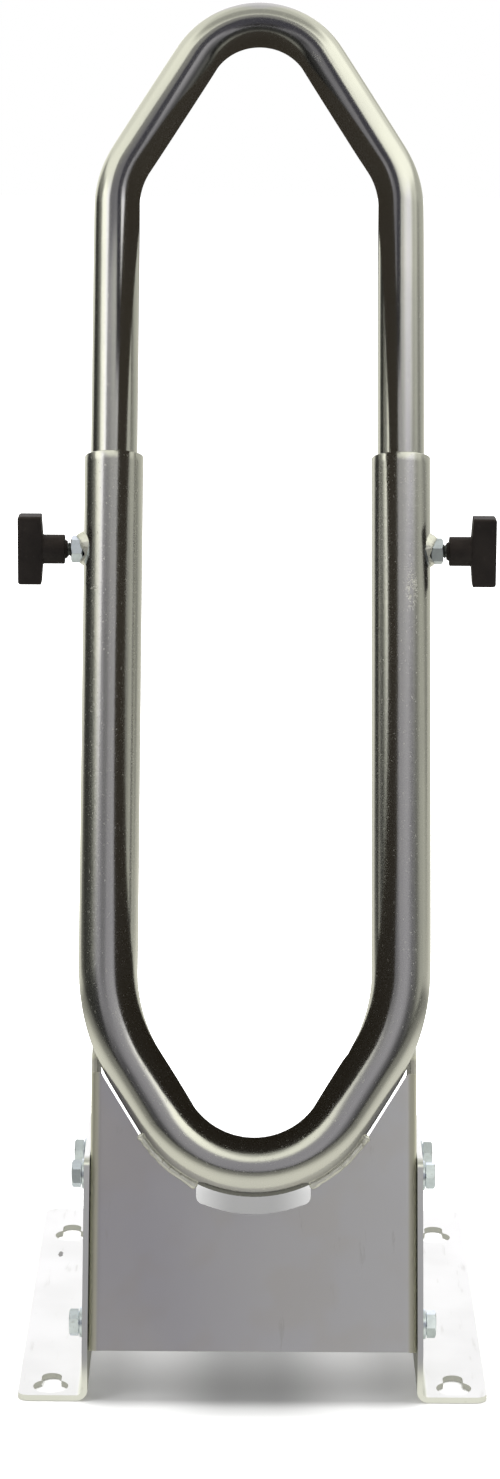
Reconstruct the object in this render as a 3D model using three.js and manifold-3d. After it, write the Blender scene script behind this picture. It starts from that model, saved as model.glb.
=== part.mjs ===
// Display stand that holds the front wheel of an off-road motorcycle or a bike.
// Two folded feet carry a folded channel, a bent hoop is welded to the channel,
// and a second hoop telescopes out of it and is clamped by two screw knobs.
// Millimetres. +Z up, the open front faces -Y, +X is the right side seen from the front.
// The origin lies on the floor, midway between the feet and midway along them.

import * as THREE from 'three';
import { mergeVertices } from 'three/addons/utils/BufferGeometryUtils.js';
import Module from 'manifold-3d';

const wasm = await Module();
wasm.setup();

// Sheet metal
const sheet = 3;                  // thickness of the feet and of the channel
const foldRadius = 3;             // inner radius of every fold
const seatGap = 0.3;              // gap between pieces that touch
const overrun = 5;                // how far a cutter passes the face that it cuts

// Feet: folded angles with a tall inner leg
const footLength = 305;
const footWidth = 37;             // floor leg, measured over the sheet of the upright leg
const footCorner = 6;             // corner radius of the floor leg
const kinkHeight = 28;            // the front edge is upright below this and leans back above it
const leanDegrees = 21.5;         // lean of the front edge, the channel and both hoops
const uprightHeight = 122;        // top edge of the upright leg
const uprightTopCorner = 6;
const uprightFlat = 118;          // from the foot's front to where the top edge starts to fall
const uprightRearHeight = 24;     // height left at the rear end
const keyholeHead = 18.6;         // round end, wide enough for a screw head
const keyholeNeck = 10.6;         // slot that the screw slides into
const keyholeTravel = 13.5;       // from the round end's centre to the neck's end centre
const keyholeInset = 13.5;        // front round end's centre from the foot's front
const keyholeRearInset = 48.5;    // rear round end's centre from the foot's rear

// Channel: the web leans with the hoop and the two flanges bolt to the feet
const channelWidth = 173.7;
const webTop = 147;               // web's upper corners above the kink, along the lean
const edgeGap = 1.2;              // slit between the web's cut-out and the hoop
const slotWidth = 61;             // relief slot under the hoop's lowest point
const slotDrop = 8.6;             // slot's lower edge below the tube, at the middle
const slotSag = 5.3;              // how much its lower edge rises towards its ends
const slotCorner = 4.5;
const flangeFoot = 26;            // flange's lower edge above the floor
const flangeBack = 125;           // flange's rear edge behind the foot's front
const flangeShoulder = 126;       // height where the rear edge starts to lean in
const flangeTop = 177;            // flange's top above the kink, along the lean
const flangeTopDepth = 45;        // depth of the flange at its top, square to the lean
const flangeCorner = 10;

// Hoops: a fixed lower one and a sliding upper one
const legSpacing = 157;           // between the centre lines of the legs
const lowerTube = 32;             // outer diameter
const lowerWall = 3;
const slideGap = 0.3;             // radial clearance of the upper legs in the lower ones
const upperWall = 2;
const hoopFloor = 97;             // lowest point of the lower centre line above the kink, along the lean
const lowerSlant = 32;            // degrees between the legs and the slanted runs
const lowerBow = 55;              // centre-line radius of the lowest bend
const lowerShoulder = 100;        // centre-line radius of the bends into the legs
const lowerLeg = 281.5;           // straight length of a lower leg
const upperSlant = 31.5;
const upperBow = 41;
const upperShoulder = 52;
const upperLeg = 287.8;
const insertion = 146;            // length of upper leg inside the lower leg at rest
const tubeSides = 20;
const bendStep = 8;               // degrees of bend between two rings of the tube

// Clamp screws: a T knob on a stud in a nut welded to each lower leg
const clampDrop = 52;             // clamp's axis below the mouth of the lower leg
const screw = 8;                  // nominal diameter of every screw
const threadGap = 0.1;            // radial clearance on each side of the nominal diameter
const acrossFlats = 13;
const nutHeight = 6.5;
const nutTurns = { left: 0, right: 30 };   // degrees that each welded nut is turned
const nutWeldReach = 9.6;         // radius of the weld round the nut, at the tube
const nutWeldTop = 8.2;           // radius of the weld at its upper rim
const nutWeldRise = 3.8;          // height of the weld above the tube
const studShow = 3.4;             // bare stud between the nut and the knob
const studInKnob = 15;
const knobNeck = 16;              // diameter
const neckLength = 12.5;
const knobBar = 37.5;             // length of the cross bar
const barDepth = 15;
const barThickness = 13;
const barRound = 1.6;
const boreGap = 0.3;              // radial clearance of the stud in the knob

// Bolts through the feet and the channel's flanges
const boltHole = 9;
const boltLength = 20;
const headHeight = 5.3;
const washerDiameter = 16;
const washerThickness = 1.6;
const lowBoltBack = 24;           // from the foot's front
const lowBoltRise = 9;            // above the flange's lower edge
const highBoltDrop = 16;          // below the upright leg's top edge
const highFrontBack = 60;
const highBoltPitch = 37;
const screwSides = 16;
const washerSides = 24;

// Weld seams between the web and the lower hoop
const seamRadius = 2.3;
const seamProud = 0.4;            // seam's centre in front of the web
const seamSides = 10;

// Materials
function material(name, color, roughness, metalness) {
  return new THREE.MeshStandardMaterial({ name, color, roughness, metalness, flatShading: true });
}

const brightZinc = () => material('bright_zinc_tube', 0xb4b4a8, 0.22, 1);
const satinZinc = () => material('satin_zinc_sheet', 0x9a989c, 0.42, 1);
const paleZinc = () => material('pale_zinc_sheet', 0xdcdcd4, 0.4, 1);
const blueZinc = () => material('blue_zinc_fastener', 0xbcc8cc, 0.35, 1);
const weldMetal = () => material('weld_metal', 0xc4c2b6, 0.5, 1);
const blackPlastic = () => material('black_plastic', 0x1d1916, 0.6, 0);

// Solids: closed geometries become bodies that can be joined and cut
const rad = THREE.MathUtils.degToRad;

function solid(geometry, matrix = new THREE.Matrix4()) {
  const bare = geometry.clone().applyMatrix4(matrix);
  bare.deleteAttribute('normal');
  bare.deleteAttribute('uv');
  const merged = mergeVertices(bare);
  return new wasm.Manifold(new wasm.Mesh({
    numProp: 3,
    vertProperties: merged.attributes.position.array,
    triVerts: new Uint32Array(merged.index.array),
  }));
}

function geometryOf(body) {
  const { vertProperties, triVerts } = body.getMesh();
  const geometry = new THREE.BufferGeometry();
  geometry.setAttribute('position', new THREE.BufferAttribute(vertProperties, 3));
  geometry.setIndex(new THREE.BufferAttribute(triVerts, 1));
  return geometry;
}

function piece(name, geometry, finish) {
  const mesh = new THREE.Mesh(geometry, finish);
  mesh.name = name;
  return mesh;
}

function polygon(sides, radius) {
  const shape = new THREE.Shape();
  for (let corner = 0; corner < sides; corner += 1) {
    const turn = (corner / sides) * 2 * Math.PI;
    const place = [radius * Math.cos(turn), radius * Math.sin(turn)];
    if (corner === 0) shape.moveTo(...place);
    else shape.lineTo(...place);
  }
  shape.closePath();
  return shape;
}

function ring(sides, outer, inner) {
  const shape = polygon(sides, outer);
  shape.holes.push(polygon(sides, inner));
  return shape;
}

const hexagon = (flats) => polygon(6, flats / 2 / Math.cos(Math.PI / 6));
const depthOnly = (depth) => ({ depth, bevelEnabled: false, curveSegments: 6 });
const prism = (shape, depth) => new THREE.ExtrudeGeometry(shape, depthOnly(depth));
const rod = (radius, length, sides = screwSides) => prism(polygon(sides, radius), length);
const move = (x, y, z) => new THREE.Matrix4().makeTranslation(x, y, z);

// A prism drawn in X and Z and as deep as Y, or drawn in Y and Z and as deep as X
const alongY = new THREE.Matrix4().makeBasis(
  new THREE.Vector3(1, 0, 0), new THREE.Vector3(0, 0, 1), new THREE.Vector3(0, -1, 0));
const alongX = new THREE.Matrix4().makeBasis(
  new THREE.Vector3(0, 1, 0), new THREE.Vector3(0, 0, 1), new THREE.Vector3(1, 0, 0));

// A closed outline with straight sides through corners given as [x, y]
function straightShape(corners) {
  return new THREE.Shape(corners.map(([x, y]) => new THREE.Vector2(x, y)));
}

// A closed outline through corners given as [x, y, radius]
function roundedShape(corners) {
  const shape = new THREE.Shape();
  corners.forEach(([x, y, radius], index) => {
    const corner = new THREE.Vector2(x, y);
    const [px, py] = corners[(index + corners.length - 1) % corners.length];
    const [nx, ny] = corners[(index + 1) % corners.length];
    const back = new THREE.Vector2(px, py).sub(corner);
    const ahead = new THREE.Vector2(nx, ny).sub(corner);
    const reach = radius / Math.tan(back.angleTo(ahead) / 2);
    const start = corner.clone().addScaledVector(back.normalize(), reach);
    const end = corner.clone().addScaledVector(ahead.normalize(), reach);
    if (index === 0) shape.moveTo(start.x, start.y);
    else shape.lineTo(start.x, start.y);
    if (radius > 0) shape.quadraticCurveTo(x, y, end.x, end.y);
  });
  shape.closePath();
  return shape;
}

// Leaning frame: X across, Y back into the stand, Z up along the hoop,
// with its origin in the web's front face at the height of the kink
const lean = rad(leanDegrees);
const leaning = new THREE.Group();
leaning.position.set(0, -footLength / 2, kinkHeight);
leaning.rotation.x = -lean;
leaning.updateMatrix();
const tubePlane = sheet / 2;      // the hoops' centre lines lie at mid thickness of the web

// Hoops
class StationPath extends THREE.Curve {
  constructor(stations) {
    super();
    this.stations = stations;
  }

  station(share) {
    return this.stations[Math.round(share * (this.stations.length - 1))];
  }

  getPointAt(share) {
    return this.station(share).point.clone();
  }

  getTangentAt(share) {
    return this.station(share).tangent.clone();
  }
}

// Walks a centre line in the XZ plane as a tube bender does, from straights and bends
function benderPath(startX, startZ, startHeading, moves) {
  let heading = startHeading;
  const ahead = () => new THREE.Vector3(Math.cos(heading), 0, Math.sin(heading));
  let point = new THREE.Vector3(startX, 0, startZ);
  const stations = [{ point, tangent: ahead() }];
  moves.forEach(({ straight = 0, turn = 0, radius = 0 }) => {
    if (straight > 0) {
      point = point.clone().addScaledVector(ahead(), straight);
      stations.push({ point, tangent: ahead() });
    }
    const steps = Math.ceil(Math.abs(turn) / rad(bendStep));
    for (let step = 0; step < steps; step += 1) {
      const part = turn / steps;
      heading += part / 2;
      point = point.clone().addScaledVector(ahead(), 2 * radius * Math.sin(Math.abs(part) / 2));
      heading += part / 2;
      stations.push({ point, tangent: ahead() });
    }
  });
  return new StationPath(stations);
}

// Straight length of the slanted run between a leg's shoulder bend and the bow
function slantedRun({ slant, bow, shoulder }) {
  const angle = rad(slant);
  return legSpacing / 2 / Math.sin(angle) - shoulder * Math.tan(angle / 2) - bow / Math.tan(angle);
}

// side is 1 for a hoop whose bow is at the top and -1 for one whose bow is at the bottom
function hoopPath({ legEnd, leg, slant, bow, shoulder, side }) {
  const angle = rad(slant);
  const run = slantedRun({ slant, bow, shoulder });
  const shoulderBend = { turn: -side * angle, radius: shoulder };
  const bowBend = { turn: -side * (Math.PI - 2 * angle), radius: bow };
  return benderPath(-legSpacing / 2, legEnd, side * Math.PI / 2, [
    { straight: leg, ...shoulderBend },
    { straight: run, ...bowBend },
    { straight: run, ...shoulderBend },
    { straight: leg },
  ]);
}

// Distance along the lean from a hoop's leg end to the centre line of its bow
function hoopRise({ leg, slant, bow, shoulder }) {
  const angle = rad(slant);
  const run = slantedRun({ slant, bow, shoulder });
  return leg + shoulder * Math.sin(angle) + run * Math.cos(angle) + bow * (1 - Math.sin(angle));
}

const lowerBends = { leg: lowerLeg, slant: lowerSlant, bow: lowerBow, shoulder: lowerShoulder, side: -1 };
const upperBends = { leg: upperLeg, slant: upperSlant, bow: upperBow, shoulder: upperShoulder, side: 1 };
const mouth = hoopFloor + hoopRise(lowerBends);
const lowerPath = hoopPath({ ...lowerBends, legEnd: mouth });
const upperPath = hoopPath({ ...upperBends, legEnd: mouth - insertion });
const upperTube = lowerTube - 2 * lowerWall - 2 * slideGap;
const clampHeight = mouth - clampDrop;

function swept(shape, path) {
  return new THREE.ExtrudeGeometry(shape, { steps: path.stations.length - 1, extrudePath: path });
}

function tubeBody(radius) {
  return solid(swept(polygon(tubeSides, radius), lowerPath), move(0, tubePlane, 0));
}

function lowerHoop() {
  let body = solid(swept(ring(tubeSides, lowerTube / 2, lowerTube / 2 - lowerWall), lowerPath));
  for (const side of [-1, 1]) {
    const drill = new THREE.Matrix4().makeRotationY(side * Math.PI / 2);
    drill.setPosition(side * legSpacing / 2, 0, clampHeight);
    body = body.subtract(solid(rod(boltHole / 2, lowerTube), drill));
  }
  return piece('lower_hoop_tube', geometryOf(body), brightZinc());
}

function upperHoop() {
  const section = ring(tubeSides, upperTube / 2, upperTube / 2 - upperWall);
  return piece('upper_hoop_tube', swept(section, upperPath), brightZinc());
}

// Channel
function channelSection() {
  const outer = channelWidth / 2;
  const inner = outer - sheet;
  const depth = flangeBack + flangeTop;
  const outerRadius = foldRadius + sheet;
  return roundedShape([
    [-outer, 0, outerRadius], [outer, 0, outerRadius], [outer, depth, 0], [inner, depth, 0],
    [inner, sheet, foldRadius], [-inner, sheet, foldRadius], [-inner, depth, 0], [-outer, depth, 0],
  ]);
}

// Outline of the flanges seen from the side, behind the leaning front face
function flangeOutline() {
  const topFront = new THREE.Vector3(0, -overrun, flangeTop).applyMatrix4(leaning.matrix);
  const topRear = new THREE.Vector3(0, flangeTopDepth, flangeTop).applyMatrix4(leaning.matrix);
  const rear = flangeBack - footLength / 2;
  const front = -footLength / 2 - overrun;
  return roundedShape([
    [front, flangeFoot, 0], [rear, flangeFoot, flangeCorner], [rear, flangeShoulder, flangeCorner],
    [topRear.y, topRear.z, flangeCorner], [topFront.y, topFront.z, 0], [front, topFront.z, 0],
  ]);
}

// Everything inside the hoop's outer edge, with a gap, out of the web
function hoopCutout(gap) {
  const shape = new THREE.Shape();
  const reach = lowerTube / 2 + gap;
  lowerPath.stations.forEach(({ point, tangent }, index) => {
    const place = [point.x + reach * tangent.z, point.z - reach * tangent.x];
    if (index === 0) shape.moveTo(...place);
    else shape.lineTo(...place);
  });
  shape.closePath();
  return shape;
}

function reliefSlot() {
  const half = slotWidth / 2;
  const low = hoopFloor - lowerTube / 2 - slotDrop;
  const shape = new THREE.Shape();
  shape.moveTo(half, hoopFloor);
  shape.lineTo(-half, hoopFloor);
  shape.lineTo(-half, low + slotSag + slotCorner);
  shape.quadraticCurveTo(-half, low + slotSag, slotCorner - half, low + slotSag * (1 - slotCorner / half));
  shape.quadraticCurveTo(0, low - slotSag, half - slotCorner, low + slotSag * (1 - slotCorner / half));
  shape.quadraticCurveTo(half, low + slotSag, half, low + slotSag + slotCorner);
  shape.closePath();
  return shape;
}

// A slab with its outline drawn across and along the lean, from front to front + depth behind
function webCut(shape, front, depth) {
  return solid(prism(shape, depth), alongY.clone().premultiply(move(0, front + depth, 0)));
}

function boltPlaces() {
  const high = uprightHeight - highBoltDrop;
  return [
    { spot: 'low', back: lowBoltBack, up: flangeFoot + lowBoltRise },
    { spot: 'high_front', back: highFrontBack, up: high },
    { spot: 'high_rear', back: highFrontBack + highBoltPitch, up: high },
  ];
}

function boltHoles(halfWidth) {
  const length = 2 * halfWidth + 2 * overrun;
  return boltPlaces().map(({ back, up }) => solid(rod(boltHole / 2, length),
    alongX.clone().premultiply(move(-length / 2, back - footLength / 2, up))));
}

function channel() {
  const bottom = -flangeBack;
  const toPart = leaning.matrix;
  const toLean = toPart.clone().invert();
  const outerFold = foldRadius + sheet;
  let body = solid(prism(channelSection(), flangeTop + overrun - bottom), move(0, 0, bottom));
  const wide = channelWidth / 2 + overrun;
  const high = flangeTop + 2 * overrun;
  const below = straightShape([[-wide, bottom - overrun], [wide, bottom - overrun], [wide, 0], [-wide, 0]]);
  const above = straightShape([[-wide, webTop], [wide, webTop], [wide, high], [-wide, high]]);
  for (const cut of [below, above]) body = body.subtract(webCut(cut, -overrun, overrun + outerFold));
  for (const cut of [hoopCutout(edgeGap), reliefSlot()]) {
    body = body.subtract(webCut(cut, -overrun, overrun + sheet + foldRadius / 2));
  }
  body = body.subtract(tubeBody(lowerTube / 2 + edgeGap));
  const sides = solid(prism(flangeOutline(), channelWidth + 2 * overrun),
    alongX.clone().premultiply(move(-channelWidth / 2 - overrun, 0, 0)).premultiply(toLean));
  body = body.intersect(sides);
  for (const hole of boltHoles(channelWidth / 2)) {
    body = body.subtract(hole.transform(toLean.elements));
  }
  return piece('front_channel', geometryOf(body), satinZinc());
}

// Feet
const uprightInner = channelWidth / 2 + seatGap;
const uprightOuter = uprightInner + sheet;
const footOuter = uprightInner + footWidth;

function footSection() {
  return roundedShape([
    [uprightInner, 0, foldRadius + sheet], [footOuter, 0, 0], [footOuter, sheet, 0],
    [uprightOuter, sheet, foldRadius], [uprightOuter, uprightHeight, 0], [uprightInner, uprightHeight, 0],
  ]);
}

function footSideOutline() {
  const front = -footLength / 2;
  const rear = footLength / 2;
  const leanBack = (uprightHeight - kinkHeight) * Math.tan(lean);
  return roundedShape([
    [front, 0, 0], [rear, 0, 0], [rear, uprightRearHeight, uprightTopCorner],
    [front + uprightFlat, uprightHeight, 2 * uprightTopCorner],
    [front + leanBack, uprightHeight, uprightTopCorner], [front, kinkHeight, 0],
  ]);
}

function footPlanOutline() {
  const front = -footLength / 2;
  const inner = uprightInner - overrun;
  return roundedShape([
    [inner, front, 0], [footOuter, front, footCorner], [footOuter, -front, footCorner], [inner, -front, 0],
  ]);
}

// Round end towards the front, neck towards the rear
function keyhole() {
  const head = keyholeHead / 2;
  const neck = keyholeNeck / 2;
  const meet = Math.asin(neck / head);
  const shape = new THREE.Shape();
  shape.absarc(0, 0, head, Math.PI / 2 - meet, meet - 3 * Math.PI / 2, true);
  shape.lineTo(-neck, keyholeTravel);
  shape.absarc(0, keyholeTravel, neck, Math.PI, 0, true);
  shape.closePath();
  return shape;
}

function foot(side, name) {
  const lengthwise = alongY.clone().premultiply(move(0, footLength / 2, 0));
  let body = solid(prism(footSection(), footLength), lengthwise);
  body = body.intersect(solid(prism(footSideOutline(), footOuter), alongX));
  body = body.intersect(solid(prism(footPlanOutline(), uprightHeight)));
  const slotX = (uprightOuter + footOuter) / 2;
  for (const back of [keyholeInset, footLength - keyholeRearInset]) {
    const place = move(slotX, back - footLength / 2, -overrun);
    body = body.subtract(solid(prism(keyhole(), sheet + 2 * overrun), place));
  }
  for (const hole of boltHoles(footOuter)) body = body.subtract(hole);
  if (side < 0) body = body.mirror([1, 0, 0]);
  return piece(name, geometryOf(body), paleZinc());
}

// Bolts, washers and nuts, each drawn along its own axis and laid across the stand
const shankRadius = screw / 2 - threadGap;
const nutBore = screw / 2 + threadGap;
const headTurns = {
  left_low: 2, left_high_front: 5, left_high_rear: -4,
  right_low: 27, right_high_front: 22, right_high_rear: 8,
};

function hexNut() {
  const shape = hexagon(acrossFlats);
  shape.holes.push(polygon(screwSides, nutBore));
  return prism(shape, nutHeight);
}

function fasteners(side, sideName) {
  const group = new THREE.Group();
  const washerBase = uprightOuter + seatGap;
  const headBase = washerBase + washerThickness + seatGap;
  const nutBase = channelWidth / 2 - sheet - seatGap - nutHeight;
  boltPlaces().forEach(({ spot, back, up }) => {
    const tag = `${sideName}_${spot}`;
    const turn = new THREE.Matrix4().makeRotationZ(rad(headTurns[tag]));
    const head = solid(prism(hexagon(acrossFlats), headHeight), turn);
    const shank = solid(rod(shankRadius, boltLength + headHeight / 2), move(0, 0, -boltLength));
    const bolt = piece(`bolt_${tag}`, geometryOf(head.add(shank)), blueZinc());
    bolt.position.z = headBase;
    const washer = piece(`washer_${tag}`,
      prism(ring(washerSides, washerDiameter / 2, boltHole / 2), washerThickness), blueZinc());
    washer.position.z = washerBase;
    const nut = piece(`nut_${tag}`, hexNut(), blueZinc());
    nut.position.z = nutBase;
    const set = new THREE.Group();
    set.position.set(0, back - footLength / 2, up);
    set.rotation.y = side * Math.PI / 2;
    set.add(bolt, washer, nut);
    group.add(set);
  });
  return group;
}

// Clamp screws, drawn outwards from the leg's centre line
const tubeSurface = lowerTube / 2;
const nutSeat = tubeSurface + seatGap;
const nutFace = nutSeat + nutHeight;
const neckEnd = nutFace + studShow;

function weldNut(sideName) {
  const nut = piece(`weld_nut_${sideName}`, hexNut(), blueZinc());
  nut.rotation.z = rad(nutTurns[sideName]);
  nut.position.z = nutSeat;
  return nut;
}

function nutWeld(sideName, side) {
  const profile = [
    [0, 0], [nutWeldReach, 0], [nutWeldReach, tubeSurface], [nutWeldTop, tubeSurface + nutWeldRise],
    [0, tubeSurface + nutWeldRise],
  ].map(([radius, out]) => new THREE.Vector2(radius, out));
  const upright = new THREE.Matrix4().makeRotationX(Math.PI / 2);
  let body = solid(new THREE.LatheGeometry(profile, washerSides), upright);
  const turn = new THREE.Matrix4().makeRotationZ(rad(nutTurns[sideName]));
  body = body.subtract(solid(prism(hexagon(acrossFlats + 2 * seatGap), 2 * nutFace), turn));
  const toClamp = new THREE.Matrix4().makeRotationY(side * Math.PI / 2);
  toClamp.setPosition(side * legSpacing / 2, tubePlane, clampHeight);
  const tube = tubeBody(lowerTube / 2 + seatGap).transform(toClamp.invert().elements);
  body = body.subtract(tube);
  return piece(`nut_weld_${sideName}`, geometryOf(body), weldMetal());
}

function clampStud(sideName) {
  const tip = upperTube / 2 + seatGap;
  const stud = piece(`clamp_stud_${sideName}`, rod(shankRadius, neckEnd + studInKnob - tip), blueZinc());
  stud.position.z = tip;
  return stud;
}

function knob(sideName) {
  const half = knobBar / 2 - barRound;
  const deep = barDepth / 2 - barRound;
  const outline = roundedShape([
    [-half, -deep, barRound], [half, -deep, barRound], [half, deep, barRound], [-half, deep, barRound],
  ]);
  const bar = new THREE.ExtrudeGeometry(outline, {
    depth: barThickness - 2 * barRound, bevelSize: barRound, bevelThickness: barRound,
    bevelSegments: 2, curveSegments: 2,
  });
  const barBase = neckEnd + neckLength;
  let body = solid(bar, move(0, 0, barBase + barRound));
  body = body.add(solid(rod(knobNeck / 2, neckLength + barRound, washerSides), move(0, 0, neckEnd)));
  const bore = rod(shankRadius + boreGap, overrun + studInKnob + seatGap, washerSides);
  body = body.subtract(solid(bore, move(0, 0, neckEnd - overrun)));
  return piece(`knob_${sideName}`, geometryOf(body), blackPlastic());
}

function clamp(side, sideName) {
  const group = new THREE.Group();
  group.position.set(side * legSpacing / 2, tubePlane, clampHeight);
  group.rotation.y = side * Math.PI / 2;
  group.add(weldNut(sideName), nutWeld(sideName, side), clampStud(sideName));
  const turned = knob(sideName);
  turned.rotation.z = side * lean;
  group.add(turned);
  return group;
}

// Weld seams along the lowest bend, from the relief slot to the slanted run
function seam(side, sideName) {
  const radius = lowerBow + lowerTube / 2 + edgeGap / 2;
  const centre = hoopFloor + lowerBow;
  const first = Math.asin((slotWidth / 2 + seamRadius) / radius);
  const last = Math.PI / 2 - rad(lowerSlant);
  const steps = Math.ceil((last - first) / rad(bendStep / 2));
  const stations = [];
  for (let step = 0; step <= steps; step += 1) {
    const angle = first + (step / steps) * (last - first);
    stations.push({
      point: new THREE.Vector3(side * radius * Math.sin(angle), 0, centre - radius * Math.cos(angle)),
      tangent: new THREE.Vector3(side * Math.cos(angle), 0, Math.sin(angle)),
    });
  }
  const bead = swept(polygon(seamSides, seamRadius), new StationPath(stations));
  let body = solid(bead, move(0, -seamProud, 0));
  body = body.subtract(tubeBody(lowerTube / 2 + seatGap));
  const wide = channelWidth / 2;
  const web = straightShape([[-wide, 0], [wide, 0], [wide, webTop], [-wide, webTop]]);
  const slab = webCut(web, -seatGap, sheet + 2 * overrun);
  const clear = webCut(hoopCutout(edgeGap - seatGap), -overrun, sheet + 4 * overrun);
  body = body.subtract(slab.subtract(clear));
  return piece(`weld_seam_${sideName}`, geometryOf(body), weldMetal());
}

// The whole stand
const stand = new THREE.Group();
stand.name = 'wheel_display_stand';
stand.add(leaning);

const lower = lowerHoop();
const upper = upperHoop();
lower.position.y = tubePlane;
upper.position.y = tubePlane;
leaning.add(channel(), lower, upper);

for (const [side, sideName] of [[-1, 'left'], [1, 'right']]) {
  stand.add(foot(side, `foot_${sideName}`), fasteners(side, sideName));
  leaning.add(seam(side, sideName), clamp(side, sideName));
}

export default stand;
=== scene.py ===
# Bike display stand: its visible surfaces, finishes and studio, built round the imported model.
# Sizes below are in millimetres.

import math

import bmesh
import bpy
import numpy as np
from mathutils import Euler, Matrix, Vector


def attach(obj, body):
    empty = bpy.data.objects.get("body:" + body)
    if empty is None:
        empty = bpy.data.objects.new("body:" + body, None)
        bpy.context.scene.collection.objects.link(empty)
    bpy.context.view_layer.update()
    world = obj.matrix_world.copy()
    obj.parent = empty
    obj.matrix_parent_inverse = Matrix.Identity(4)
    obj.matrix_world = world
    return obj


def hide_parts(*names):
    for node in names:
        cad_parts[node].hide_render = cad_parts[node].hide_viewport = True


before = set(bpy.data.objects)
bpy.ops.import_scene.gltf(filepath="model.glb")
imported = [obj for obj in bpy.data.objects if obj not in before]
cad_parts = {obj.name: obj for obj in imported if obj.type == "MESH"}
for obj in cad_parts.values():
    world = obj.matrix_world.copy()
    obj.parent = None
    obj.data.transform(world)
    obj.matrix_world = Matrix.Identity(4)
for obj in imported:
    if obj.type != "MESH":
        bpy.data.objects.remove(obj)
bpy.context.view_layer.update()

# The two feet are 3 mm steel sheet, laser cut flat and folded once into an angle.
# The floor leg has two keyholes for floor screws, and the tall leg has three bolt holes.
# They are zinc plated after the fold, so the plating covers the cut edges too.
SHEET = 3.0
SIDES = {"left": -1, "right": 1}

upright_inner = 87.15
upright_height, rear_height, kink_height = 122.0, 24.0, 28.0
upright_front, upright_rear = -115.5, -34.5
foot_width = 37.0
foot_half = 152.5
foot_corner = 6.0
fold_inner = 3.0
fold_outer = fold_inner + SHEET
fold_middle = fold_inner + SHEET / 2
fold_length = fold_middle * math.pi / 2
bolt_hole_radius = 4.5
keyhole_places = (-139.0, 104.0)
bolt_places = {"low": (-128.5, 35.0), "high_front": (-92.5, 106.0), "high_rear": (-55.5, 106.0)}


def arc_outline(corners, pitch=9.0):
    """Straight sides through corners (x, y, radius), with each corner replaced by its tangent arc."""
    pieces = []
    count = len(corners)
    for index, (x, y, radius) in enumerate(corners):
        corner = np.array([x, y], float)
        back = np.array(corners[index - 1][:2]) - corner
        ahead = np.array(corners[(index + 1) % count][:2]) - corner
        back /= np.linalg.norm(back)
        ahead /= np.linalg.norm(ahead)
        half = math.acos(np.clip(back @ ahead, -1, 1)) / 2
        if radius == 0 or half > 1.56:
            pieces.append(corner[None])
            continue
        bisector = (back + ahead) / np.linalg.norm(back + ahead)
        centre = corner + bisector * radius / math.sin(half)
        first = corner + back * radius / math.tan(half) - centre
        last = corner + ahead * radius / math.tan(half) - centre
        start = math.atan2(first[1], first[0])
        sweep = (math.atan2(last[1], last[0]) - start + math.pi) % (2 * math.pi) - math.pi
        steps = max(3, math.ceil(abs(math.degrees(sweep)) / pitch))
        turn = start + sweep * np.linspace(0, 1, steps + 1)
        pieces.append(centre + radius * np.stack([np.cos(turn), np.sin(turn)], 1))
    return np.vstack(pieces)


def arc_points(centre, radius, first, last, count):
    """Points at one radius about a centre, from the first angle to the last, in degrees."""
    turn = np.radians(np.linspace(first, last, count))
    return np.array(centre) + radius * np.stack([np.cos(turn), np.sin(turn)], 1)


def round_hole(centre, radius, count=40):
    """A full circle of points without its doubled end."""
    return arc_points(centre, radius, 0, 360, count + 1)[:-1]


def add_object(name, data):
    """An object at the origin that holds this mesh, lamp or camera."""
    made = bpy.data.objects.new(name, data)
    bpy.context.scene.collection.objects.link(made)
    return made


def new_piece(name, places, faces, finish):
    """Puts an array of places in mm and a list of faces into a mesh in metres, with its finish."""
    mesh = bpy.data.meshes.new(name)
    mesh.from_pydata((np.asarray(places) * 0.001).tolist(), [], faces)
    mesh.materials.append(finish)
    return add_object(name, mesh)


def flat_sheet(rims, rulings):
    """Fills an outline with its holes, and cuts the fill along x = ruling so that it can be folded."""
    blank = bmesh.new()
    for rim in rims:
        corners = [blank.verts.new((x, y, 0)) for x, y in rim]
        for start, end in zip(corners, corners[1:] + corners[:1]):
            blank.edges.new((start, end))
    bmesh.ops.triangle_fill(blank, use_beauty=True, edges=blank.edges[:], normal=(0, 0, 1))
    for ruling in rulings:
        everything = blank.verts[:] + blank.edges[:] + blank.faces[:]
        bmesh.ops.bisect_plane(blank, geom=everything, dist=1e-4, plane_co=(ruling, 0, 0), plane_no=(1, 0, 0))
    blank.verts.index_update()
    places = np.array([corner.co[:2] for corner in blank.verts])
    faces = [[corner.index for corner in face.verts] for face in blank.faces]
    blank.free()
    return places, faces


def break_edges(piece, width, angle):
    """Rounds the edges that are sharper than an angle in degrees, over a width in mm."""
    broken = piece.modifiers.new("broken_edges", "BEVEL")
    broken.width = width * 0.001
    broken.segments = 2
    broken.limit_method = "ANGLE"
    broken.angle_limit = math.radians(angle)
    broken.harden_normals = True


def sheet_piece(name, places, faces, finish):
    """A folded sheet's middle surface, thickened evenly to both sides, with its cut edges broken."""
    piece = new_piece(name, places, faces, finish)
    piece.data.shade_smooth()
    wall = piece.modifiers.new("thickness", "SOLIDIFY")
    wall.thickness = SHEET * 0.001
    wall.offset = 0
    wall.use_even_offset = True
    break_edges(piece, 0.35, 40)
    even = piece.modifiers.new("even_normals", "WEIGHTED_NORMAL")
    even.keep_sharp = True
    even.weight = 80
    return piece


def fold_rulings(start, direction=1):
    """Rulings across one fold, with a close support line before and after it."""
    support = 1.5
    inside = start + direction * fold_length * np.linspace(0, 1, 11)
    return [start - direction * support, *inside, start + direction * (fold_length + support)]


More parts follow.
